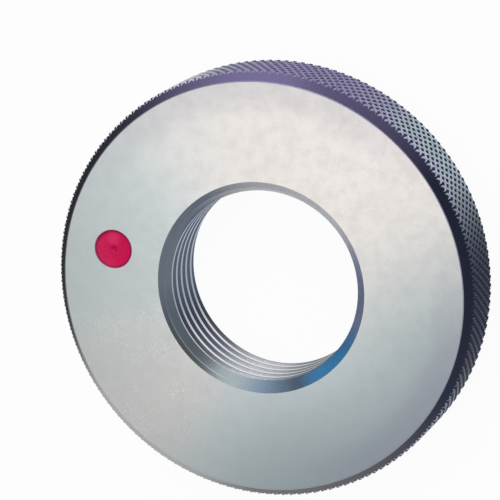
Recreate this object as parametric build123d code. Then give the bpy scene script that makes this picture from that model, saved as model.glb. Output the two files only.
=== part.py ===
from build123d import *

import os
from math import ceil, cos, pi, radians, sin, tan, tau

# A no-go thread ring gauge: one hardened steel ring, turned and ground, with a diamond
# knurl round its rim and a screw thread through its bore. A spot drilled into its marked
# face is filled with red lacquer.
#
# Millimetres. The ring lies on its back face: Z runs along the bore, Z = 0 is the back
# face, and the marked face is at Z = thickness.

# The ring
outside_diameter = 63.0  # over the tips of the knurl
thickness = 12.0
rim_chamfer_rise = 1.3  # how far the rim's chamfers run in across the faces
rim_chamfer_depth = 1.6  # and how far they run down the rim
bore_diameter = 28.09  # at the crests of the thread, M30 x 2 no-go
bore_chamfer = 1.6  # at 45 degrees

# The diamond knurl
diamond_width = 1.24  # round the rim
diamond_length = 2.04  # along the bore
knurl_depth = 0.5

# The drilled spot, mid-way across the marked face
spot_diameter = 5.7
spot_azimuth = -90.0  # degrees from +X
spot_wall = 0.5  # straight wall above the drill point
drill_point_angle = 118.0

# The lacquer in it
lacquer_below_face = 0.12  # at its edge
lacquer_hollow = 0.16  # how much lower the middle of its top is
lacquer_pit_diameter = 1.0  # where it sinks over the drill point
lacquer_pit_depth = 0.12

tip_radius = outside_diameter / 2
valley_radius = tip_radius - knurl_depth
face_radius = tip_radius - rim_chamfer_rise
bore_radius = bore_diameter / 2
mouth_radius = bore_radius + bore_chamfer
spot_radius = spot_diameter / 2
pit_radius = lacquer_pit_diameter / 2
drill_point_depth = spot_radius / tan(radians(drill_point_angle / 2))
diamonds = round(pi * outside_diameter / diamond_width)
last_row = ceil(thickness / diamond_length) - 1  # of diamonds, counted from the middle one


def turned(*lines):
    """The solid that a closed outline in the XZ plane gives when it is turned about Z."""
    return revolve(make_face([Plane.XZ * line for line in lines]), Axis.Z)


def flat_face(*corners):
    return Face(Wire.make_polygon(corners, close=True))


def pairs_round(corners):
    """Each corner with the next, and the last with the first."""
    return zip(corners, corners[1:] + corners[:1])


def rim_point(radius, column, height):
    """A point of the rim. A diamond is two columns wide."""
    turn = tau * column / (2 * diamonds)
    return Vector(radius * cos(turn), radius * sin(turn), height)


def stock():
    """The ring's outside before it is knurled, with the chamfers of its rim.

    A chamfer has one flat for each diamond, none more than 0.01 mm inside its cone, so
    that it meets the flanks of the diamonds in straight edges.
    """
    spare = knurl_depth  # left on the rim, for the knurl to take off
    edge = rim_chamfer_depth * (1 + spare / rim_chamfer_rise)
    levels = (
        (face_radius, 0),
        (tip_radius + spare, edge),
        (tip_radius + spare, thickness - edge),
        (face_radius, thickness),
    )
    columns = range((last_row + 1) % 2, 2 * diamonds, 2)
    rings = [[rim_point(radius, column, height) for column in columns] for radius, height in levels]
    sides = [
        flat_face(low, low_next, high_next, high)
        for below, above in zip(rings, rings[1:])
        for (low, low_next), (high, high_next) in zip(pairs_round(below), pairs_round(above))
    ]
    return Solid(Shell([flat_face(*rings[0]), *sides, flat_face(*rings[-1])]))


def knurl_point(radius, column, row):
    """A corner of the knurl, which is two rows high like it is two columns wide."""
    return rim_point(radius, column, (thickness + row * diamond_length) / 2)


def diamond(column, row):
    """The four flanks of one diamond, from its tip down to the grooves round it."""
    tip = knurl_point(tip_radius, column, row)
    steps = ((1, 0), (0, 1), (-1, 0), (0, -1))
    corners = [knurl_point(valley_radius, column + across, row + along) for across, along in steps]
    return [flat_face(tip, *pair) for pair in pairs_round(corners)]


def bar_end(row, side):
    """The flat end past the last row of diamonds, and what fills the gaps between them."""
    columns = range(row % 2, 2 * diamonds, 2)
    corners = [knurl_point(valley_radius, column, row + side) for column in columns]
    between = [knurl_point(valley_radius, column + 1, row) for column in columns]
    gaps = [flat_face(*pair, point) for pair, point in zip(pairs_round(corners), between)]
    return [flat_face(*corners), *gaps]


def knurled_bar():
    """A bar at least as long as the ring is thick, knurled from end to end."""
    faces = bar_end(last_row, 1) + bar_end(-last_row, -1)
    for row in range(-last_row, last_row + 1):
        for column in range(row % 2, 2 * diamonds, 2):
            faces += diamond(column, row)
    return Solid(Shell(faces))


def bore():
    """What is taken out for the bore and the chamfers of its mouths, run on past the faces."""
    past = bore_chamfer
    wide = mouth_radius + past
    outline = Polyline(
        (0, -past),
        (wide, -past),
        (bore_radius, bore_chamfer),
        (bore_radius, thickness - bore_chamfer),
        (wide, thickness + past),
        (0, thickness + past),
        close=True,
    )
    return turned(outline)


def at_spot(shape):
    """Moves what is made about Z, with the marked face at Z = 0, to where the spot is."""
    to_axis = (face_radius + mouth_radius) / 2
    return Rot(0, 0, spot_azimuth) * Pos(to_axis, 0, thickness) * shape


def drilled_spot():
    """What the drill takes out, run on above the face."""
    above = spot_wall
    outline = Polyline(
        (0, above),
        (0, -spot_wall - drill_point_depth),
        (spot_radius, -spot_wall),
        (spot_radius, above),
        close=True,
    )
    return at_spot(turned(outline))


def lacquer():
    """The lacquer that fills the spot, hollowed on top, with a pit in its middle."""
    edge = -lacquer_below_face
    middle = edge - lacquer_hollow
    outline = Polyline(
        (pit_radius, middle),
        (0, middle - lacquer_pit_depth),
        (0, -spot_wall - drill_point_depth),
        (spot_radius, -spot_wall),
        (spot_radius, edge),
    )
    top = TangentArc((pit_radius, middle), (spot_radius, edge), tangent=(1, 0))
    return at_spot(turned(outline, top))


def ring_body():
    """The ring: its stock with the bore and the spot cut, and the knurl on its rim."""
    cut = stock() - bore() - drilled_spot()
    return cut.solid().intersect(knurled_bar()).solid()


os.makedirs("parts", exist_ok=True)
export_step(ring_body(), "parts/ring_body.step")
export_step(lacquer(), "parts/red_mark.step")
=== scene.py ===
from math import cos, hypot, pi, radians, sin, tan, tau

import bmesh
import bpy
from bpy.props import FloatProperty, FloatVectorProperty, IntProperty, PointerProperty
from bpy.types import Operator, Panel, PropertyGroup
from mathutils import Matrix, Vector


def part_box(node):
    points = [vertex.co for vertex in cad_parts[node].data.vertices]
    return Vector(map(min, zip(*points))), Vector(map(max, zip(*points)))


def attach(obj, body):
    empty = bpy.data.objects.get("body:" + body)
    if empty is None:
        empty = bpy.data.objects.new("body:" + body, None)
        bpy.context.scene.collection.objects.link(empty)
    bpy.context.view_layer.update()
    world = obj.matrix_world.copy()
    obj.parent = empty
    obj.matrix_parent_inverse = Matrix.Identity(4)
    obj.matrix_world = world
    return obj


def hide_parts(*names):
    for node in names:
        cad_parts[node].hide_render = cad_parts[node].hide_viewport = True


bl_info = {
    "name": "Thread ring gauge",
    "version": (1, 0, 0),
    "blender": (4, 5, 0),
    "location": "3D View > Sidebar > Gauge",
    "description": "Knurled thread ring gauge with a lacquered spot, and a studio to see it in",
    "category": "Add Mesh",
}

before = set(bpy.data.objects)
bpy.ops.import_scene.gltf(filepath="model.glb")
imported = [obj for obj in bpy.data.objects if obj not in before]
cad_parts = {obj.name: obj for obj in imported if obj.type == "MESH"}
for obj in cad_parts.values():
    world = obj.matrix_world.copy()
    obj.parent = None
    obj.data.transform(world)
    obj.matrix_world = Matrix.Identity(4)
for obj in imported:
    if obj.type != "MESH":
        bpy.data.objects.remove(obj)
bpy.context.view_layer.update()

MM = 0.001  # the scene is in metres
BODY = "root"
RING_NODE = "ring_body"
SPOT_NODE = "red_mark"
WELD = 0.012 * MM  # closer corners than this are one corner
SEAM = 0.001 * MM  # the same, where a cut has left a seam
NEAR = 0.004 * MM  # how exactly a place is matched when faces are picked
SPOT_FACETS = 72  # flats round the drilled spot and its lacquer
RING_CREASE = radians(12)  # edges that turn more than this look sharp
LACQUER_CREASE = radians(50)
LAMPS = (  # name, azimuth, elevation, distance and width in metres, glow, tint
    ("key", -66, 77, 0.166, 0.10, 1.13, (1.0, 0.97, 0.95)),
    ("low", -150, 4, 0.30, 0.20, 1.15, (0.93, 0.88, 1.0)),
    ("high", -165, 45, 1.20, 0.90, 2.0, (0.97, 0.98, 1.0)),
)

ring_low, ring_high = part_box(RING_NODE)
spot_low, spot_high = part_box(SPOT_NODE)


def measured(name, description, metres):
    """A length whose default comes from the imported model, in metres."""
    return FloatProperty(
        name=name, description=description, default=metres, precision=5, unit="LENGTH"
    )


def size(name, description, millimetres):
    """A length whose default is given in millimetres, and kept in metres."""
    return measured(name, description, millimetres * MM)


def share(name, description, default):
    """A part of a whole, from 0 to 1."""
    return FloatProperty(
        name=name, description=description, default=default, min=0, max=1, subtype="FACTOR"
    )


def angle(name, description, degrees):
    """An angle whose default is given in degrees."""
    return FloatProperty(
        name=name, description=description, default=radians(degrees), unit="ROTATION"
    )


def colour(name, description, red, green, blue):
    """A colour as light, not as screen values."""
    return FloatVectorProperty(
        name=name, description=description, default=(red, green, blue), min=0, max=1, subtype="COLOR"
    )


class RingSizes(PropertyGroup):
    outside_diameter: measured("Outside diameter", "Over the tips of the knurl", ring_high.x - ring_low.x)
    thickness: measured("Thickness", "From the back face to the marked face", ring_high.z - ring_low.z)
    rim_chamfer_rise: size("Rim chamfer rise", "How far it runs in across a face", 1.3)
    rim_chamfer_depth: size("Rim chamfer depth", "How far it runs down the rim", 1.6)
    edge_break: size("Edge break", "Where the ground faces meet the rim chamfers", 0.09)
    bore_diameter: size("Bore diameter", "At the crests of the thread", 28.09)
    bore_chamfer_rise: size("Bore chamfer rise", "How far it runs out across the marked face", 1.6)
    bore_chamfer_depth: size("Bore chamfer depth", "How far it runs down the bore", 1.4)
    back_chamfer: size("Back chamfer", "The bore's chamfer at the back face, at 45 degrees", 1.0)
    facets: IntProperty(name="Facets", description="Flats round what is turned", default=320)


class KnurlSizes(PropertyGroup):
    diamonds: IntProperty(name="Diamonds", description="Diamonds round the rim", default=160)
    diamond_length: size("Diamond length", "Along the bore", 2.04)
    groove_depth: size("Groove depth", "From the lands to the grooves between them", 0.36)
    land: share("Land", "Width of a diamond's flat land, as a share of the diamond's", 0.46)
    land_edge: size("Land edge", "Round of the edge of a land", 0.04)
    rows: IntProperty(name="Rows", description="Rows of diamonds to each side of the middle one", default=6)


class ThreadSizes(PropertyGroup):
    pitch: size("Pitch", "From crest to crest", 2.0)
    root_diameter: size("Root diameter", "At the bottom of the groove", 30.1)
    root_flat: size("Root flat", "Width of the groove's bottom", 0.07)
    flank_angle: angle("Flank angle", "Half of the thread's angle", 30)
    crest_edge: size("Crest edge", "Width taken off each edge of the crest", 0.05)
    start: angle("Start", "Turns the thread about the bore", -155)
    turns: IntProperty(name="Turns", description="Turns of the tap, which runs on past both faces", default=9)
    steps: IntProperty(name="Steps", description="Flats in one turn of the thread", default=120)


class SpotSizes(PropertyGroup):
    diameter: measured("Diameter", "Of the drilled spot", spot_high.x - spot_low.x)
    to_axis: measured(
        "To axis", "From the bore's axis to the middle of the spot", -(spot_high.y + spot_low.y) / 2
    )
    wall: size("Wall", "Straight wall above the drill point", 0.5)
    drill_point: angle("Drill point", "Angle of the drill's point", 118)
    edge_break: size("Edge break", "Round the mouth of the spot", 0.07)
    below_face: size("Below face", "How far the lacquer's edge lies below the face", 0.08)
    hollow: size("Hollow", "How much lower the middle of the lacquer is", 0.17)
    pit_diameter: size("Pit diameter", "Where the lacquer sinks over the drill point", 0.9)
    pit_depth: size("Pit depth", "How far it sinks there", 0.25)


class Finishes(PropertyGroup):
    # The ground faces' warm and cool sides are partly painted reflection, and their dim and shade sides are
    # painted shade.
    steel: colour("Ground steel", "The ground faces", 0.79, 0.753, 0.724)
    steel_cool_tint_and_reflection: colour("Ground steel, cool", "The ground faces away from the warm side", 0.755, 0.80, 0.81)
    warm_reflection_side: angle("Warm side", "Where round the ring the ground faces look warm", 160)
    steel_shade: colour("Ground steel, shade", "Where a face is less bright", 0.26, 0.37, 0.395)
    shade_side: angle("Shade side", "Where round the ring the face is less bright", 52)
    steel_dim_shade: colour("Ground steel, dim", "Where the ground faces look cool and dim", 0.61, 0.675, 0.675)
    dim_shade_side: angle("Dim side", "Where round the ring the ground faces look cool and dim", 283)
    smudge: colour("Ground steel, smudge", "Clouds, specks and smudges on a ground face", 0.40, 0.42, 0.43)
    glint: colour("Ground steel, glint", "Bright flecks on a ground face", 1.0, 0.98, 0.93)
    steel_lilac: colour("Ground steel, lilac", "Along the rim of a ground face", 0.37, 0.36, 0.45)
    lilac_side: angle("Lilac side", "Where round the ring the face's rim looks lilac", 66)
    faint_side: angle("Faint lilac side", "Where round the ring it looks faintly so", 195)
    fleck_side: angle("Fleck side", "Where round the ring the face is flecked", 320)
    edge: colour("Bare edge", "The broken edges of the ground faces", 0.66, 0.64, 0.76)
    edge_speck: colour("Bare edge, specks", "Dull specks on those edges", 0.50, 0.48, 0.62)
    edge_rubbed: colour("Bare edge, rubbed", "Those edges on the rubbed side", 0.58, 0.60, 0.58)
    oxide: colour("Oxide", "Blackened chamfers of the rim", 0.026, 0.032, 0.058)
    oxide_speck: colour("Oxide, specks", "Specks on the blackening", 0.16, 0.15, 0.20)
    grey: colour("Oxide, grey", "Where the blackening turns grey", 0.10, 0.10, 0.105)
    grey_side: angle("Grey side", "Where round the ring the blackening turns grey", 12)
    rubbed: colour("Oxide, rubbed", "Where the blackening is rubbed through", 0.33, 0.33, 0.32)
    rubbed_side: angle("Rubbed side", "Where round the ring the blackening is rubbed through", 333)
    # The dull side's darkness is painted shade.
    oxide_shade: colour("Oxide, dull", "Where the blackening is dull", 0.014, 0.014, 0.020)
    oxide_shade_side: angle("Dull side", "Where round the ring the blackening is dull", 266)
    # Violet at this side is partly the blackening's own tint and partly a painted reflection.
    violet: colour("Oxide, violet", "Where the blackening turns violet", 0.150, 0.131, 0.243)
    violet_tint_and_reflection_side: angle("Violet side", "Where round the ring the blackening turns violet", 181)
    worn: colour("Worn flanks", "Flanks of the knurl, rubbed nearly bare", 0.485, 0.57, 0.635)
    worn_front: colour("Worn flanks, front", "The same, near the marked face", 0.54, 0.56, 0.71)
    worn_violet: colour("Worn flanks, violet", "The same, where the blackening is violet", 0.345, 0.293, 0.51)
    faded: colour("Faded knurl", "Where the knurl is rubbed all over", 0.76, 0.74, 0.83)
    faded_side: angle("Faded side", "Where round the ring the knurl is rubbed all over", 232)
    # The unworn flanks' dark side is painted shade; their random patches are kept blackening.
    unworn: colour("Unworn flanks", "Where the flanks keep their blackening", 0.030, 0.038, 0.085)
    knurl_shade_side: angle("Unworn side", "Where round the ring the flanks keep their blackening", 96)
    land: colour("Lands", "The flat tops of the knurl's diamonds", 0.015, 0.026, 0.044)
    land_speck: colour("Lands, specks", "Specks on the lands", 0.12, 0.12, 0.16)
    land_shade: colour("Lands, unworn", "Where the lands are darkest", 0.003, 0.004, 0.009)
    # Round the bore's chamfers the pale, smoky, murky, dusky and near-white sides are painted reflections,
    # and the heat blue is partly heat blueing and partly painted reflection.
    blued: colour("Blued steel", "The chamfers of the bore", 0.31, 0.37, 0.44)
    blued_speck: colour("Blued steel, specks", "Specks on the blueing", 0.3, 0.32, 0.36)
    blue: colour("Heat blue", "Where the bore's chamfers are blued by heat", 0.10, 0.44, 0.88)
    blue_side: angle("Blue side", "Where round the bore they are blued by heat", 58)
    pale_blue: colour("Pale blue", "Beside the heat blue", 0.50, 0.59, 0.84)
    pale_side: angle("Pale side", "Where round the bore the blueing is pale", 92)
    dusk: colour("Dusky blue", "At the heat blue's other side", 0.125, 0.18, 0.24)
    dusk_side: angle("Dusky side", "Where round the bore the blueing is dusky", 24)
    smoke: colour("Smoky blueing", "Where the blueing is smoky", 0.225, 0.260, 0.268)
    smoke_side: angle("Smoky side", "Where round the bore the blueing is smoky", 350)
    murk: colour("Murky blueing", "Where the blueing is murky", 0.105, 0.135, 0.155)
    murk_side: angle("Murky side", "Where round the bore the blueing is murky", 311)
    # The band and its line are a painted reflection.
    band_reflection_side: angle("Band side", "Where round the bore a dark band follows the chamfer", 322)
    # Painted reflection: nearly white where the chamfers are lit.
    bare: colour("Rubbed blueing", "Where the blueing is rubbed thin", 0.97, 0.96, 1.0)
    bright_reflection_side: angle("Bare side", "Where round the bore the blueing is rubbed thin", 166)
    crest: colour("Thread crest", "The lapped crests of the thread", 0.78, 0.78, 0.82)
    crest_speck: colour("Thread crest, specks", "Specks on the crests", 0.40, 0.40, 0.48)
    # The crests' shade and their brightest side are painted shade and a painted highlight.
    crest_shade: colour("Thread crest, shade", "Where the crests are less worn", 0.30, 0.35, 0.44)
    crest_highlight_side: angle("Crest side", "Where round the bore the crests are brightest", 347)
    # The flanks' pale and bright sides are painted reflections.
    flank: colour("Thread flank", "The flanks of the thread", 0.092, 0.105, 0.136)
    flank_speck: colour("Thread flank, specks", "Specks on the flanks", 0.18, 0.19, 0.24)
    flank_pale: colour("Thread flank, pale", "Where the flanks are paler", 0.25, 0.30, 0.41)
    flank_pale_side: angle("Pale flank side", "Where round the bore the flanks are paler", 262)
    flank_bright_reflection: colour("Thread flank, bare", "Where the flanks are rubbed nearly bare", 0.32, 0.335, 0.34)
    flank_reflection_side: angle("Flank side", "Where round the bore the flanks are rubbed nearly bare", 17)
    # The lacquer's darker pit and rim are painted shade, and its paler side is a painted highlight.
    lacquer: colour("Lacquer", "The red filling of the spot", 0.745, 0.0040, 0.094)
    lacquer_fleck: colour("Lacquer, flecks", "Flecks in the lacquer", 0.75, 0.12, 0.25)
    lacquer_deep_and_pit_shade: colour("Lacquer, deep", "Where the lacquer lies thick", 0.56, 0.0025, 0.066)
    lacquer_highlight: colour("Lacquer, thin", "Where the lacquer lies thin", 0.87, 0.036, 0.16)
    highlight_side: angle("Thin side", "To which side of the spot's middle the lacquer lies thin", 192)
    lacquer_rim_shade: colour("Lacquer, rim", "The lacquer's dark edge", 0.26, 0.005, 0.070)
    stain: colour("Stained edge", "Steel round the spot, stained by the lacquer", 0.62, 0.36, 0.44)


class StudioSizes(PropertyGroup):
    lens: FloatProperty(
        name="Lens", description="Focal length on a 36 mm sensor, in millimetres", default=224.1
    )
    distance: size("Distance", "From the camera to the marked face", 446.33)
    azimuth: angle("Azimuth", "Where the camera stands round the ring, from +X", 137.60)
    elevation: angle("Elevation", "How high the camera stands above the floor", 66.71)
    roll: angle("Roll", "How far the camera is turned about its own axis", -125.18)
    aim_x: size("Aim across", "Where the camera looks on the marked face, along X", -5.225)
    aim_y: size("Aim along", "Where the camera looks on the marked face, along Y", -2.466)
    floor_size: size("Floor size", "Side of the floor", 6000)
    floor_colour: colour("Floor", "The floor, where the lamps light it", 0.92, 0.92, 0.92)
    floor_glow: share("Floor glow", "How far the floor's own white lightens the shadows on it", 0.95)
    room: colour("Room", "Light from all round", 0.40, 0.41, 0.42)


# Finishes


class Link:
    """An output of a node. Working with it adds Math nodes to the same finish."""

    def __init__(self, finish, socket):
        self.finish = finish
        self.socket = socket

    def worked(self, operation, first, second):
        sockets = {0: first, 1: second}
        return self.finish.node("ShaderNodeMath", {"operation": operation}, sockets)[0]

    def __add__(self, other):
        return self.worked("ADD", self, other)

    def __radd__(self, other):
        return self.worked("ADD", other, self)

    def __sub__(self, other):
        return self.worked("SUBTRACT", self, other)

    def __rsub__(self, other):
        return self.worked("SUBTRACT", other, self)

    def __mul__(self, other):
        return self.worked("MULTIPLY", self, other)

    def __rmul__(self, other):
        return self.worked("MULTIPLY", other, self)


class Finish:
    """A material, with the nodes that give its look."""

    def __init__(self, name):
        self.material = bpy.data.materials.new(name)
        self.material.use_nodes = True
        self.tree = self.material.node_tree
        self.tree.nodes.clear()
        self.place = self.node("ShaderNodeTexCoord")["Object"]

    def node(self, kind, settings=None, sockets=None):
        """Adds a node with these settings and socket values or links, and returns its outputs."""
        made = self.tree.nodes.new(kind)
        for name, value in (settings or {}).items():
            setattr(made, name, value)
        for name, value in (sockets or {}).items():
            if isinstance(value, Link):
                self.tree.links.new(value.socket, made.inputs[name])
            else:
                made.inputs[name].default_value = value
        outputs = {output.name: Link(self, output) for output in made.outputs}
        return outputs | {number: Link(self, output) for number, output in enumerate(made.outputs)}

    def noise(self, grain, detail=2, roughness=0.6, stretch=(1, 1, 1)):
        """Noise from 0 to 1 whose grains are about this long, drawn out by the shares given."""
        place = self.node("ShaderNodeMapping", None, {"Vector": self.place, "Scale": stretch})[0]
        sockets = {"Vector": place, "Scale": 1 / grain, "Detail": detail, "Roughness": roughness}
        return self.node("ShaderNodeTexNoise", None, sockets)["Fac"]

    def grains(self, grain, low, high, **look):
        """Noise that is 0 up to the low level and 1 from the high one."""
        return self.ramp(self.noise(grain, **look), low, high)

    def ramp(self, value, low, high):
        """How far a value is from low to high, held to 0 and 1."""
        sockets = {0: value, 1: low, 2: high}
        return self.node("ShaderNodeMapRange", {"interpolation_type": "SMOOTHSTEP"}, sockets)[0]

    def mixed(self, factor, first, second):
        """The first colour where the factor is 0, and the second where it is 1."""
        settings = {"data_type": "RGBA"}
        return self.node("ShaderNodeMix", settings, {0: factor, 6: rgba(first), 7: rgba(second)})[2]

    def layered(self, base, *layers):
        """A colour under layers, each given as how far it covers, and its colour."""
        for cover, over in layers:
            base = self.mixed(cover, base, over)
        return base

    def bump(self, height, distance):
        sockets = {"Height": height, "Distance": distance, "Strength": 0.5}
        return self.node("ShaderNodeBump", None, sockets)[0]

    def flat_place(self, axis):
        """A point's place across the bore, from an upright axis."""
        away = self.node("ShaderNodeVectorMath", {"operation": "SUBTRACT"}, {0: self.place, 1: axis})[0]
        return self.node("ShaderNodeVectorMath", {"operation": "MULTIPLY"}, {0: away, 1: (1, 1, 0)})[0]

    def from_axis(self, axis=(0, 0, 0)):
        """How far a point is from an upright axis."""
        flat = self.flat_place(axis)
        return self.node("ShaderNodeVectorMath", {"operation": "LENGTH"}, {0: flat})["Value"]

    def height(self):
        """How high a point is above the back face."""
        return self.node("ShaderNodeSeparateXYZ", None, {0: self.place})["Z"]

    def towards(self, azimuth, degrees):
        """1 where the ring faces an azimuth, falling to 0 where it faces this far from it."""
        flat = self.flat_place((0, 0, 0))
        way = self.node("ShaderNodeVectorMath", {"operation": "NORMALIZE"}, {0: flat})[0]
        aim = (cos(azimuth), sin(azimuth), 0)
        along = self.node("ShaderNodeVectorMath", {"operation": "DOT_PRODUCT"}, {0: way, 1: aim})["Value"]
        return self.ramp(along, cos(radians(degrees)), 1)

    def principled(self, **sockets):
        """Ends the nodes in a Principled shader, and returns the material."""
        named = {name.replace("_", " "): value for name, value in sockets.items()}
        shader = self.node("ShaderNodeBsdfPrincipled", None, named)[0]
        self.node("ShaderNodeOutputMaterial", None, {"Surface": shader})
        return self.material


def rgba(value):
    """A link as it is, or a colour with nothing see-through about it."""
    return value if isinstance(value, Link) else (*value[:3], 1)


def greater(first, second):
    """The greater of two worked values."""
    return first.worked("MAXIMUM", first, second)


def ground_steel(finishes):
    """The ground faces, warm to one side and cool to another, partly by painted reflection, dim and shaded to
    two more sides by painted shade, clouded and flecked.
    """
    finish = Finish("ground_steel")
    outward = finish.ramp(finish.from_axis(), 2 * MM, 32 * MM)
    warm = finish.towards(finishes.warm_reflection_side, 105)
    flecked = finish.towards(finishes.fleck_side, 36)
    dim = finish.towards(finishes.dim_shade_side, 68) * (1 - 0.5 * flecked)
    shade = finish.towards(finishes.shade_side, 86) * outward
    faint = finish.towards(finishes.faint_side, 66) * 0.55
    lilac = greater(finish.towards(finishes.lilac_side, 46), faint)
    rim = finish.ramp(outward, 0.86, 0.97)
    cloud = finish.grains(1.8 * MM, 0.35, 0.7, detail=4)
    speck = finish.grains(0.3 * MM, 0.35, 0.75)
    smudge = finish.grains(1.3 * MM, 0.72, 0.78, roughness=0.5)
    pock = finish.grains(0.45 * MM, 0.70, 0.76, roughness=0.5)
    patch = finish.grains(3.5 * MM, 0.40, 0.62, roughness=0.5)
    fleck = finish.grains(0.5 * MM, 0.5, 0.66, detail=3, stretch=(1, 2.2, 1)) * patch * flecked
    return finish.principled(
        Base_Color=finish.layered(
            finishes.steel_cool_tint_and_reflection,
            # Partly painted reflection on the warm side, then painted shade on the dim and shade sides.
            (greater(warm, flecked * 0.8), finishes.steel),
            (dim * 0.9, finishes.steel_dim_shade),
            (shade * 0.7, finishes.steel_shade),
            (lilac * rim * 0.5, finishes.steel_lilac),
            (pock * flecked * 0.4, finishes.steel_shade),
            (cloud * 0.08 + speck * 0.05 + smudge * 0.12, finishes.smudge),
            (fleck * 0.55, finishes.glint),
        ),
        Metallic=1.0,
        Roughness=0.36 + 0.03 * cloud + 0.03 * speck,
        Normal=finish.bump(finish.noise(0.12 * MM, detail=3) + 0.7 * fleck, 0.003 * MM),
    )


def bare_edge(finishes):
    """Where the grinding of the faces has cut through the blackening of the chamfers."""
    finish = Finish("bare_edge")
    speck = finish.grains(0.4 * MM, 0.3, 0.7)
    return finish.principled(
        Base_Color=finish.layered(
            finishes.edge,
            (speck, finishes.edge_speck),
            # Violet, partly a painted reflection.
            (finish.towards(finishes.violet_tint_and_reflection_side, 62) * 0.75, finishes.violet),
            # Painted shade: darker on the side where the rim chamfer is darker.
            (finish.towards(finishes.oxide_shade_side, 54) * 0.7, finishes.oxide_shade),
            (finish.towards(finishes.rubbed_side, 60) * 0.8, finishes.edge_rubbed),
        ),
        Metallic=1.0,
        Roughness=0.3 + 0.1 * speck,
    )


def oxide(finishes):
    """The blackened chamfers of the rim, violet, grey and rubbed by turns, and duller to one side, where they
    are darker by painted shade.
    """
    finish = Finish("black_oxide")
    speck = finish.grains(0.25 * MM, 0.3, 0.75, detail=3)
    dull = finish.towards(finishes.oxide_shade_side, 54)
    return finish.principled(
        Base_Color=finish.layered(
            finishes.oxide,
            (finish.towards(finishes.grey_side, 64), finishes.grey),
            # Painted shade on the dull side.
            (dull, finishes.oxide_shade),
            (finish.towards(finishes.rubbed_side, 36), finishes.rubbed),
            # Violet, partly a painted reflection.
            (finish.towards(finishes.violet_tint_and_reflection_side, 50), finishes.violet),
            (speck * 0.05, finishes.oxide_speck),
        ),
        Metallic=0.88 - 0.76 * dull,
        Roughness=0.28 + 0.10 * speck,
        Specular_IOR_Level=0.0,
        Normal=finish.bump(finish.noise(0.15 * MM, detail=3), 0.003 * MM),
    )


def knurl_sides(finish, finishes):
    """Where round the ring the knurl is violet, partly by painted reflection, rubbed all over, and darkest by
    painted shade.
    """
    return (
        finish.towards(finishes.violet_tint_and_reflection_side, 34),
        finish.towards(finishes.faded_side, 30),
        finish.towards(finishes.knurl_shade_side, 42),
    )


def worn_flank(finishes):
    """The flanks of the knurl, darker on one side by painted shade, and keeping their blackening in patches.
    """
    finish = Finish("worn_flank")
    violet, faded, knurl_shade = knurl_sides(finish, finishes)
    front = finish.ramp(finish.height(), 6.5 * MM, 10.5 * MM)
    patch = finish.grains(0.8 * MM, 0.45, 0.65, detail=3)
    speck = finish.grains(0.12 * MM, 0.3, 0.75)
    return finish.principled(
        Base_Color=finish.layered(
            finishes.worn,
            (front, finishes.worn_front),
            (violet, finishes.worn_violet),
            (faded, finishes.faded),
            # Painted shade on the dark side, and patches of kept blackening.
            (greater(knurl_shade, patch * 0.3), finishes.unworn),
        ),
        Metallic=0.95,
        Roughness=0.30 + 0.12 * speck,
        Normal=finish.bump(speck, 0.005 * MM),
    )


def knurl_land(finishes):
    """The dark tops of the knurl's diamonds."""
    finish = Finish("knurl_land")
    violet, faded, knurl_shade = knurl_sides(finish, finishes)
    speck = finish.grains(0.15 * MM, 0.3, 0.75)
    return finish.principled(
        Base_Color=finish.layered(
            finishes.land,
            (violet * 0.4, finishes.violet),
            (faded * 0.9, finishes.faded),
            (speck * 0.12, finishes.land_speck),
            # Painted shade on the dark side.
            (knurl_shade * 0.8, finishes.land_shade),
        ),
        Roughness=0.5 + 0.1 * speck,
        Specular_IOR_Level=0.02,
    )


def blued_steel(finishes):
    """The chamfers of the bore, blued, with painted reflections round them: blue to one side, partly heat
    blueing, and nearly white at another.

    To the band side a painted reflection runs round the chamfer: a thin pale line, murky outside the line.
    """
    finish = Finish("blued_steel")
    from_axis = finish.from_axis()
    outside = finish.ramp(from_axis, 15.10 * MM, 15.18 * MM)
    line = finish.ramp(from_axis, 15.00 * MM, 15.07 * MM) - outside
    band_reflection = finish.towards(finishes.band_reflection_side, 30)
    bare = finish.towards(finishes.bright_reflection_side, 62)
    drift = finish.grains(5 * MM, 0.35, 0.7, roughness=0.5)
    speck = finish.grains(0.3 * MM, 0.3, 0.75)
    return finish.principled(
        Base_Color=finish.layered(
            finishes.blued,
            # Painted reflections by side, and partly heat blueing where it is blue.
            (bare, finishes.bare),
            (finish.towards(finishes.pale_side, 42), finishes.pale_blue),
            (finish.towards(finishes.smoke_side, 50), finishes.smoke),
            (finish.towards(finishes.murk_side, 30) * 0.42, finishes.murk),
            (finish.towards(finishes.dusk_side, 30), finishes.dusk),
            (finish.towards(finishes.blue_side, 28), finishes.blue),
            (drift * 0.10, finishes.violet),
            # Painted reflection: a murky band with a pale line inside it.
            (outside * band_reflection * 0.6, finishes.murk),
            (line * band_reflection * 0.5, finishes.crest),
            (speck * 0.06, finishes.blued_speck),
        ),
        Metallic=0.95 - 0.6 * bare,
        Roughness=0.27 + 0.06 * speck,
    )


def thread_crest(finishes):
    """The lapped crests, marked along the bore, with a painted highlight to one side and painted shade round
    the rest.
    """
    finish = Finish("thread_crest")
    speck = finish.grains(0.3 * MM, 0.35, 0.75, detail=3, stretch=(1, 1, 3))
    return finish.principled(
        Base_Color=finish.layered(
            finishes.crest_shade,
            (finish.towards(finishes.crest_highlight_side, 50), finishes.crest),
            (speck * 0.25, finishes.crest_speck),
        ),
        Metallic=1.0,
        Roughness=0.27 + 0.08 * speck,
    )


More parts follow.
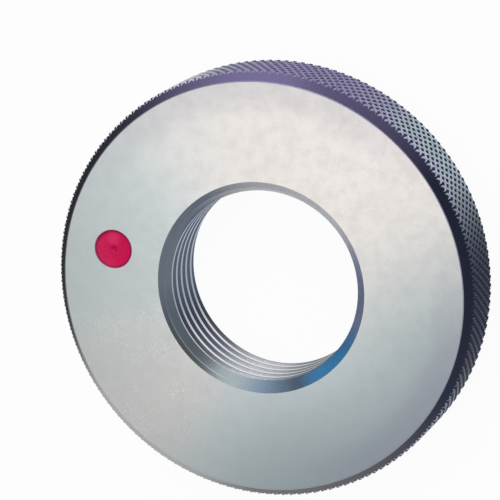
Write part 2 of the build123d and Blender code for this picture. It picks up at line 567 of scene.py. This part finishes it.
def thread_flank(finishes, ring):
    """The groove of the thread, which runs out into the chamfer of the bore, paler and brighter to two sides
    and nearly white by the first turn by painted reflection.
    """
    finish = Finish("thread_flank")
    height = finish.height()
    mouth = ring.thickness - ring.bore_chamfer_depth
    run_out = finish.ramp(height, mouth, mouth + 0.3 * MM)
    first_turn = finish.ramp(height, mouth - 0.9 * MM, mouth - 0.5 * MM)
    # Painted reflection: nearly white by the first turn, on the same side as on the chamfers.
    bare = finish.towards(finishes.bright_reflection_side, 75) * first_turn
    speck = finish.grains(0.25 * MM, 0.35, 0.75, detail=3)
    return finish.principled(
        Base_Color=finish.layered(
            finishes.flank,
            # Painted reflections on the pale and bright sides.
            (finish.towards(finishes.flank_pale_side, 48), finishes.flank_pale),
            (finish.towards(finishes.flank_reflection_side, 46), finishes.flank_bright_reflection),
            (run_out, finishes.blued),
            (speck * 0.2, finishes.flank_speck),
            (bare, finishes.bare),
        ),
        Metallic=0.9 - 0.5 * bare,
        Roughness=0.32 + 0.1 * speck,
    )


def stained_edge(finishes):
    """The broken edge of the spot, stained by its lacquer."""
    finish = Finish("stained_edge")
    speck = finish.grains(0.3 * MM, 0.3, 0.7)
    return finish.principled(
        Base_Color=finish.mixed(speck * 0.3, finishes.stain, finishes.steel),
        Metallic=1.0,
        Roughness=0.5 + 0.08 * speck,
    )


def red_lacquer(finishes, spot, name):
    """Lacquer that is deep over the drill point, darker there and at its rim by painted shade, and paler to
    one side by a painted highlight.
    """
    finish = Finish(name)
    radius = spot.diameter / 2
    from_middle = finish.from_axis((0, -spot.to_axis, 0))
    rim = finish.ramp(from_middle, 0.84 * radius, 0.97 * radius)
    pit = 1 - finish.ramp(from_middle, 0.12 * radius, 0.24 * radius)
    out = 0.58 * radius
    highlight_at = (out * cos(finishes.highlight_side), out * sin(finishes.highlight_side) - spot.to_axis, 0)
    thin = 1 - finish.ramp(finish.from_axis(highlight_at), 0.10 * radius, 0.52 * radius)
    cloud = finish.grains(0.9 * MM, 0.35, 0.7, detail=3, roughness=0.55)
    fleck = finish.grains(0.16 * MM, 0.66, 0.78, roughness=0.5)
    return finish.principled(
        Base_Color=finish.layered(
            finishes.lacquer,
            # Clouds where the lacquer lies thick, and painted shade over the pit.
            (greater(cloud * 0.4, pit * 0.8), finishes.lacquer_deep_and_pit_shade),
            (fleck * 0.15, finishes.lacquer_fleck),
            # Painted highlight to one side.
            (thin * 0.8, finishes.lacquer_highlight),
            # Painted shade round the rim.
            (rim * 0.85, finishes.lacquer_rim_shade),
        ),
        Roughness=0.34 + 0.10 * cloud,
        Specular_IOR_Level=0.06,
        Coat_Weight=0.2,
        Coat_Roughness=0.12,
        Normal=finish.bump(finish.noise(0.5 * MM, detail=3, roughness=0.5), 0.015 * MM),
    )


# Working in the mesh


def put_away():
    """Leaves edit mode with nothing selected, so that what comes next acts on itself alone."""
    if bpy.context.mode != "OBJECT":
        bpy.ops.object.mode_set(mode="OBJECT")
    bpy.ops.object.select_all(action="DESELECT")


def hold(piece):
    """Makes this piece, and no other, the one that is worked on."""
    put_away()
    bpy.context.view_layer.objects.active = piece
    piece.select_set(True)


def take_up(name):
    """Names the new primitive, puts its place into its mesh and opens the mesh to be shaped."""
    piece = bpy.context.object
    piece.name = piece.data.name = name
    bpy.ops.object.transform_apply(location=True, rotation=True, scale=True)
    bpy.ops.object.mode_set(mode="EDIT")
    return piece


def pick(piece, kind, test):
    """Selects the piece's verts, edges or faces whose middle passes the test, and no others."""
    bpy.ops.mesh.select_mode(type={"verts": "VERT", "edges": "EDGE", "faces": "FACE"}[kind])
    bpy.ops.mesh.select_all(action="DESELECT")
    mesh = bmesh.from_edit_mesh(piece.data)
    for part in getattr(mesh, kind):
        corners = [part.co] if kind == "verts" else [corner.co for corner in part.verts]
        part.select_set(bool(test(sum(corners, Vector()) / len(corners))))
    mesh.select_flush_mode()
    bmesh.update_edit_mesh(piece.data)


def at_height(height):
    """A test that what lies at this height passes."""
    return lambda middle: abs(middle.z - height) < NEAR


def everywhere(middle):
    """A test that everything passes."""
    return True


def coat(piece, material, test):
    """Gives a material to the piece's faces whose middle passes the test."""
    names = [slot.name for slot in piece.material_slots]
    if material.name not in names:
        piece.data.materials.append(material)
        names.append(material.name)
    pick(piece, "faces", test)
    piece.active_material_index = names.index(material.name)
    bpy.ops.object.material_slot_assign()


def draw_out(distance):
    """Extrudes what is picked, up along the bore."""
    bpy.ops.mesh.extrude_region_move(TRANSFORM_OT_translate={"value": (0, 0, distance)})


def modify(piece, kind, settings):
    """Adds a modifier with these settings to the piece that is held, and applies it."""
    bpy.ops.object.modifier_add(type=kind)
    modifier = piece.modifiers[-1]
    for name, value in settings.items():
        setattr(modifier, name, value)
    bpy.ops.object.modifier_apply(modifier=modifier.name)


def work_with(piece, tool, operation):
    """Cuts the piece with a tool, or keeps what they share, and puts the tool away."""
    hold(piece)
    settings = {"operation": operation, "solver": "EXACT", "material_mode": "TRANSFER", "object": tool}
    modify(piece, "BOOLEAN", settings)
    bpy.data.objects.remove(tool)
    bpy.ops.object.mode_set(mode="EDIT")
    bpy.ops.mesh.select_all(action="SELECT")
    bpy.ops.mesh.remove_doubles(threshold=SEAM)
    bpy.ops.object.mode_set(mode="OBJECT")


def finish_piece(piece, node, crease):
    """Shades the piece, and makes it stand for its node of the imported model."""
    hold(piece)
    bpy.ops.object.shade_smooth_by_angle(angle=crease)
    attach(piece, BODY)
    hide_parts(node)


# The ring


def blank(ring, spare, materials):
    """The turned disc with the chamfers of its rim, and some spare to cut the knurl from."""
    rim = ring.outside_diameter / 2 + spare
    face_radius = ring.outside_diameter / 2 - ring.rim_chamfer_rise
    run = ring.rim_chamfer_depth * (1 + spare / ring.rim_chamfer_rise)

    def under_face(at):
        """How far a place is from the nearer face."""
        return min(at.z, ring.thickness - at.z)

    def at_corner(at):
        """Whether an edge is where a face meets its chamfer."""
        return under_face(at) < NEAR and abs(hypot(at.x, at.y) - face_radius) < 2 * NEAR

    def in_break(at):
        """Whether a facet is one that breaks that edge."""
        reach = ring.edge_break * 0.999
        return NEAR < under_face(at) < reach and hypot(at.x, at.y) < face_radius + reach

    put_away()
    bpy.ops.mesh.primitive_cylinder_add(
        vertices=ring.facets, radius=rim, depth=ring.thickness, location=(0, 0, ring.thickness / 2)
    )
    piece = take_up("blank")
    for height, down in ((ring.thickness, -1), (0, 1)):
        on_face = at_height(height)
        pick(piece, "faces", on_face)
        bpy.ops.mesh.inset(thickness=rim - face_radius)
        pick(piece, "verts", lambda at: on_face(at) and hypot(at.x, at.y) > (rim + face_radius) / 2)
        bpy.ops.transform.translate(value=(0, 0, down * run))
    coat(piece, materials["oxide"], everywhere)
    coat(piece, materials["ground"], lambda at: under_face(at) < NEAR)
    pick(piece, "edges", at_corner)
    bpy.ops.mesh.bevel(offset=ring.edge_break, segments=2, affect="EDGES", material=-1)
    coat(piece, materials["edge"], in_break)
    bpy.ops.object.mode_set(mode="OBJECT")
    return piece


def tooth(ring, knurl, height, materials):
    """One diamond of the knurl, open underneath: flanks that rise to a small rounded land.

    It starts with eight corners. Underneath, four of them are drawn in to the middles of the
    diamond's sides, where the next diamonds meet it.
    """
    rim = ring.outside_diameter / 2
    valley = rim - knurl.groove_depth
    half_width = valley * tan(pi / knurl.diamonds)
    put_away()
    bpy.ops.mesh.primitive_cone_add(
        vertices=8,
        radius1=half_width,
        radius2=half_width * knurl.land,
        depth=knurl.groove_depth,
        location=(rim - knurl.groove_depth / 2, 0, height),
        rotation=(0, radians(90), 0),
    )
    piece = take_up("knurl")
    pick(piece, "faces", lambda at: at.x < valley + NEAR)
    bpy.ops.mesh.delete(type="ONLY_FACE")
    middle = (rim, 0, height)
    pick(piece, "verts", lambda at: at.x < valley + NEAR and min(abs(at.y), abs(at.z - height)) > NEAR)
    drawn_in = cos(pi / 4)
    bpy.ops.transform.resize(value=(1, drawn_in, drawn_in), center_override=middle)
    bpy.ops.mesh.select_all(action="SELECT")
    bpy.ops.transform.resize(value=(1, 1, knurl.diamond_length / 2 / half_width), center_override=middle)
    pick(piece, "edges", lambda at: at.x > rim - NEAR)
    bpy.ops.mesh.bevel(offset=knurl.land_edge, segments=1, affect="EDGES")
    coat(piece, materials["worn"], everywhere)
    coat(piece, materials["land"], lambda at: at.x > rim - knurl.land_edge)
    return piece


def column(ring, knurl, first_row, count, turn, materials):
    """A column of diamonds, two rows apart, turned about the bore."""
    height = ring.thickness / 2 + first_row * knurl.diamond_length / 2
    piece = tooth(ring, knurl, height, materials)
    bpy.ops.mesh.select_all(action="SELECT")
    bpy.ops.transform.rotate(value=turn, orient_axis="Z", center_override=(0, 0, 0))
    bpy.ops.object.mode_set(mode="OBJECT")
    settings = {
        "count": count,
        "use_relative_offset": False,
        "use_constant_offset": True,
        "constant_offset_displace": (0, 0, knurl.diamond_length),
    }
    modify(piece, "ARRAY", settings)
    return piece


def close_end(bar, end, side, past):
    """Runs the open edges at one end of the bar on to a flat face past that end."""
    bpy.ops.mesh.select_mode(type="EDGE")
    bpy.ops.mesh.select_all(action="DESELECT")
    mesh = bmesh.from_edit_mesh(bar.data)
    for edge in mesh.edges:
        edge.select_set(edge.is_boundary and (edge.verts[0].co.z - end) * side > 0)
    bmesh.update_edit_mesh(bar.data)
    bpy.ops.mesh.extrude_edges_move()
    bpy.ops.transform.resize(value=(1, 1, 0), center_override=(0, 0, end + side * past))
    bpy.ops.mesh.edge_face_add()


def knurled_bar(ring, knurl, materials):
    """A closed bar with the knurl all round it, a little longer than the ring is thick."""
    straight = column(ring, knurl, -knurl.rows, knurl.rows + 1, 0, materials)
    between = column(ring, knurl, 1 - knurl.rows, knurl.rows, pi / knurl.diamonds, materials)
    hold(straight)
    between.select_set(True)
    bpy.ops.object.join()
    bpy.ops.object.mode_set(mode="EDIT")
    bpy.ops.mesh.select_all(action="SELECT")
    bpy.ops.mesh.spin(steps=knurl.diamonds, dupli=True, angle=tau, center=(0, 0, 0), axis=(0, 0, 1))
    bpy.ops.mesh.select_all(action="SELECT")
    bpy.ops.mesh.remove_doubles(threshold=WELD)
    past = knurl.diamond_length
    close_end(straight, ring.thickness, 1, past)
    close_end(straight, 0, -1, past)
    bpy.ops.mesh.select_all(action="SELECT")
    bpy.ops.mesh.normals_make_consistent(inside=False)
    bpy.ops.object.mode_set(mode="OBJECT")
    return straight


def bore_tool(ring, materials):
    """What is bored out: the bore at the thread's crests, and the chamfers of its mouths."""
    radius = ring.bore_diameter / 2
    front = ring.thickness - ring.bore_chamfer_depth
    back = ring.back_chamfer
    put_away()
    bpy.ops.mesh.primitive_cylinder_add(
        vertices=ring.facets, radius=radius, depth=front - back, location=(0, 0, (front + back) / 2)
    )
    tool = take_up("bore_tool")
    mouths = (
        (front, ring.bore_chamfer_rise, ring.bore_chamfer_depth),
        (back, ring.back_chamfer, -ring.back_chamfer),
    )
    overrun = 1.5  # each mouth goes on past its face, to this many times its depth
    for height, rise, run in mouths:
        wide = 1 + overrun * rise / radius
        end = overrun * run
        pick(tool, "faces", at_height(height))
        draw_out(end)
        bpy.ops.transform.resize(value=(wide, wide, 1), center_override=(0, 0, height + end))
    coat(tool, materials["blued"], everywhere)
    coat(tool, materials["crest"], lambda at: back < at.z < front)
    bpy.ops.object.mode_set(mode="OBJECT")
    return tool


def tap_section(ring, thread):
    """The tap's half-heights at growing distances from the bore's axis."""
    crest = ring.bore_diameter / 2
    root = thread.root_diameter / 2
    slope = tan(thread.flank_angle)
    half_root = thread.root_flat / 2
    half_crest = half_root + (root - crest) * slope
    edge = thread.crest_edge
    return (
        (crest - thread.pitch / 4, half_crest + edge),
        (crest, half_crest + edge),
        (crest + edge, half_crest - edge * slope),
        (root, half_root),
    )


def tap(ring, thread, materials):
    """The tap that cuts the thread: its section run round and along the bore as a screw."""
    section = tap_section(ring, thread)
    (inside, half_height), (crest, _) = section[:2]
    across = crest - inside
    put_away()
    bpy.ops.mesh.primitive_plane_add(
        size=across, rotation=(radians(90), 0, 0), location=((inside + crest) / 2, 0, 0)
    )
    tool = take_up("tap")
    bpy.ops.mesh.select_all(action="SELECT")
    bpy.ops.transform.resize(value=(1, 1, 2 * half_height / across), center_override=(0, 0, 0))
    for (last, last_half), (radius, next_half) in zip(section[1:], section[2:]):
        pick(tool, "edges", lambda at: at.x > last - NEAR)
        bpy.ops.mesh.extrude_edges_move(TRANSFORM_OT_translate={"value": (radius - last, 0, 0)})
        bpy.ops.transform.resize(value=(1, 1, next_half / last_half), center_override=(0, 0, 0))
    bpy.ops.mesh.select_all(action="SELECT")
    bpy.ops.mesh.dissolve_faces()
    bpy.ops.mesh.delete(type="ONLY_FACE")
    bpy.ops.mesh.select_all(action="SELECT")
    start = (ring.thickness - thread.turns * thread.pitch) / 2
    bpy.ops.transform.translate(value=(0, 0, start))
    bpy.ops.transform.rotate(value=-thread.start, orient_axis="Z", center_override=(0, 0, 0))
    bpy.ops.object.mode_set(mode="OBJECT")
    settings = {
        "axis": "Z",
        "angle": tau,
        "screw_offset": thread.pitch,
        "iterations": thread.turns,
        "steps": thread.steps,
        "render_steps": thread.steps,
    }
    modify(tool, "SCREW", settings)
    bpy.ops.object.mode_set(mode="EDIT")
    bpy.ops.mesh.select_all(action="SELECT")
    bpy.ops.mesh.remove_doubles(threshold=NEAR)
    bpy.ops.mesh.select_all(action="SELECT")
    bpy.ops.mesh.fill_holes(sides=0)
    bpy.ops.mesh.select_all(action="SELECT")
    bpy.ops.mesh.normals_make_consistent(inside=False)
    coat(tool, materials["flank"], everywhere)
    bpy.ops.object.mode_set(mode="OBJECT")
    return tool


def pointed_bar(name, spot, top, foot):
    """A round bar as wide as the spot, with a drill point below its foot."""
    radius = spot.diameter / 2
    put_away()
    bpy.ops.mesh.primitive_cylinder_add(
        vertices=SPOT_FACETS, radius=radius, depth=top - foot, location=(0, -spot.to_axis, (top + foot) / 2)
    )
    piece = take_up(name)
    pick(piece, "faces", at_height(foot))
    draw_out(-radius / tan(spot.drill_point / 2))
    bpy.ops.mesh.merge(type="CENTER")
    return piece


def drill(ring, spot, materials):
    """The drill that makes the spot, with a touch of countersink at the face."""
    radius = spot.diameter / 2
    face = ring.thickness
    sink = face - spot.edge_break
    tool = pointed_bar("drill", spot, sink, face - spot.wall)
    rise = 2 * spot.edge_break  # the countersink goes on past the face by as much again
    pick(tool, "faces", at_height(sink))
    draw_out(rise)
    wide = (radius + rise) / radius
    bpy.ops.transform.resize(value=(wide, wide, 1), center_override=(0, -spot.to_axis, sink + rise))
    coat(tool, materials["lacquer"], everywhere)
    coat(tool, materials["stain"], lambda at: at.z > sink + NEAR)
    bpy.ops.object.mode_set(mode="OBJECT")
    return tool


class GAUGE_OT_ring(Operator):
    """Turns, knurls, bores, threads and drills the ring"""

    bl_idname = "gauge.ring"
    bl_label = "Ring"

    def execute(self, context):
        scene = context.scene
        ring, knurl, thread, spot = scene.gauge_ring, scene.gauge_knurl, scene.gauge_thread, scene.gauge_spot
        finishes = scene.gauge_finishes
        materials = {
            "ground": ground_steel(finishes),
            "edge": bare_edge(finishes),
            "oxide": oxide(finishes),
            "worn": worn_flank(finishes),
            "land": knurl_land(finishes),
            "blued": blued_steel(finishes),
            "crest": thread_crest(finishes),
            "flank": thread_flank(finishes, ring),
            "stain": stained_edge(finishes),
            "lacquer": red_lacquer(finishes, spot, "lacquered_wall"),
        }
        piece = blank(ring, knurl.groove_depth, materials)
        work_with(piece, knurled_bar(ring, knurl, materials), "INTERSECT")
        work_with(piece, bore_tool(ring, materials), "DIFFERENCE")
        work_with(piece, tap(ring, thread, materials), "DIFFERENCE")
        work_with(piece, drill(ring, spot, materials), "DIFFERENCE")
        piece.name = piece.data.name = "thread_ring"
        finish_piece(piece, RING_NODE, RING_CREASE)
        return {"FINISHED"}


class GAUGE_OT_lacquer(Operator):
    """Fills the drilled spot with red lacquer, hollow on top and sunk over the drill point"""

    bl_idname = "gauge.lacquer"
    bl_label = "Red lacquer"

    def execute(self, context):
        scene = context.scene
        ring, spot = scene.gauge_ring, scene.gauge_spot
        edge = ring.thickness - spot.below_face
        piece = pointed_bar("red_lacquer", spot, edge, ring.thickness - spot.wall)
        pick(piece, "faces", at_height(edge))
        at, deep = spot.diameter / 2, 0.0
        for next_at, next_deep in lacquer_levels(spot):
            bpy.ops.mesh.inset(thickness=at - next_at, depth=deep - next_deep)
            at, deep = next_at, next_deep
        bpy.ops.mesh.poke()
        coat(piece, red_lacquer(scene.gauge_finishes, spot, "lacquer"), everywhere)
        finish_piece(piece, SPOT_NODE, LACQUER_CREASE)
        return {"FINISHED"}


def lacquer_levels(spot):
    """The lacquer's top from its edge inwards: distances from its middle, and depths.

    It dips steeply by its edge and is nearly level inside, down to the pit.
    """
    radius, pit = spot.diameter / 2, spot.pit_diameter / 2
    dips, sinks = 10, 5
    levels = []
    for step in range(1, dips + 1):
        share_left = 1 - step / dips
        levels.append((pit + (radius - pit) * share_left, spot.hollow * (1 - share_left ** 4)))
    for step in range(1, sinks):
        swing = step / sinks
        levels.append((pit * (1 - swing), spot.hollow + spot.pit_depth * sin(swing * pi / 2)))
    return levels


# The studio


def floor(studio):
    """A plain pale floor, on which the ring's shadow still shows."""
    finish = Finish("pale_floor")
    ray = finish.node("ShaderNodeLightPath")
    seen = ray["Is Camera Ray"] + ray["Is Glossy Ray"] + ray["Is Transmission Ray"]
    lit = finish.node("ShaderNodeBsdfDiffuse", None, {"Color": rgba(studio.floor_colour)})[0]
    white = finish.node("ShaderNodeEmission", None, {"Color": (1, 1, 1, 1), "Strength": 1.0})[0]
    factor = finish.node("ShaderNodeClamp", None, {"Value": seen})[0] * studio.floor_glow
    both = finish.node("ShaderNodeMixShader", None, {0: factor, 1: lit, 2: white})[0]
    finish.node("ShaderNodeOutputMaterial", None, {"Surface": both})
    put_away()
    bpy.ops.mesh.primitive_plane_add(size=studio.floor_size)
    plate = bpy.context.object
    plate.name = plate.data.name = "floor"
    plate.data.materials.append(finish.material)


def way_out(azimuth, elevation):
    """The way from the ring to where it is lit or seen from."""
    return Matrix.Rotation(azimuth, 3, "Z") @ Vector((cos(elevation), 0, sin(elevation)))


def lamp(ring, name, azimuth, elevation, distance, across, glow, tint):
    """A soft square lamp that faces the middle of the marked face, unseen by the camera."""
    way = way_out(radians(azimuth), radians(elevation))
    put_away()
    bpy.ops.object.light_add(type="AREA", location=Vector((0, 0, ring.thickness)) + way * distance)
    made = bpy.context.object
    made.name = made.data.name = name
    made.data.shape = "SQUARE"
    made.data.size = across
    made.data.energy = glow * pi * across ** 2  # a glow of 1 is as bright as white
    made.data.color = tint
    made.rotation_euler = way.to_track_quat("Z", "Y").to_euler()
    made.visible_camera = False


def room(studio):
    """The light that comes from all round."""
    world = bpy.data.worlds.new("room")
    world.use_nodes = True
    world.node_tree.nodes["Background"].inputs["Color"].default_value = (*studio.room, 1)
    bpy.context.scene.world = world


def camera(studio, ring):
    """The camera, which looks down on the marked face of the ring."""
    aim = Vector((studio.aim_x, studio.aim_y, ring.thickness))
    way = way_out(studio.azimuth, studio.elevation)
    put_away()
    bpy.ops.object.camera_add(location=aim + way * studio.distance)
    made = bpy.context.object
    made.name = made.data.name = "camera"
    made.data.lens = studio.lens
    upright = way.to_track_quat("Z", "Y").to_matrix()
    made.rotation_euler = (upright @ Matrix.Rotation(studio.roll, 3, "Z")).to_euler()
    made.data.clip_start = studio.distance / 100
    made.data.clip_end = 100 * studio.distance
    bpy.context.scene.camera = made


class GAUGE_OT_studio(Operator):
    """Lays the floor, and sets up the lamps and the camera"""

    bl_idname = "gauge.studio"
    bl_label = "Studio"

    def execute(self, context):
        scene = context.scene
        floor(scene.gauge_studio)
        room(scene.gauge_studio)
        for settings in LAMPS:
            lamp(scene.gauge_ring, *settings)
        camera(scene.gauge_studio, scene.gauge_ring)
        scene.view_settings.view_transform = "Standard"
        return {"FINISHED"}


class GAUGE_PT_gauge(Panel):
    """Sizes and finishes of the gauge, and the operators that make it"""

    bl_idname = "GAUGE_PT_gauge"
    bl_label = "Thread ring gauge"
    bl_space_type = "VIEW_3D"
    bl_region_type = "UI"
    bl_category = "Gauge"

    def draw(self, context):
        for operator, names in STEPS:
            box = self.layout.box()
            box.label(text=operator.bl_label)
            for name in names:
                settings = getattr(context.scene, name)
                for key in settings.bl_rna.properties.keys():
                    if key not in ("rna_type", "name"):
                        box.prop(settings, key)
            box.operator(operator.bl_idname)


SETTINGS = {
    "gauge_ring": RingSizes,
    "gauge_knurl": KnurlSizes,
    "gauge_thread": ThreadSizes,
    "gauge_spot": SpotSizes,
    "gauge_finishes": Finishes,
    "gauge_studio": StudioSizes,
}
STEPS = (  # the panel's boxes: an operator, and the settings that are shown with it
    (GAUGE_OT_ring, ("gauge_ring", "gauge_knurl", "gauge_thread", "gauge_finishes")),
    (GAUGE_OT_lacquer, ("gauge_spot",)),
    (GAUGE_OT_studio, ("gauge_studio",)),
)
CLASSES = (*SETTINGS.values(), *(operator for operator, names in STEPS), GAUGE_PT_gauge)


def register():
    for made in CLASSES:
        bpy.utils.register_class(made)
    for name, group in SETTINGS.items():
        setattr(bpy.types.Scene, name, PointerProperty(type=group))


def unregister():
    for name in SETTINGS:
        delattr(bpy.types.Scene, name)
    for made in reversed(CLASSES):
        bpy.utils.unregister_class(made)


def main():
    register()
    bpy.ops.gauge.ring()
    bpy.ops.gauge.lacquer()
    bpy.ops.gauge.studio()


if __name__ == "__main__":
    main()
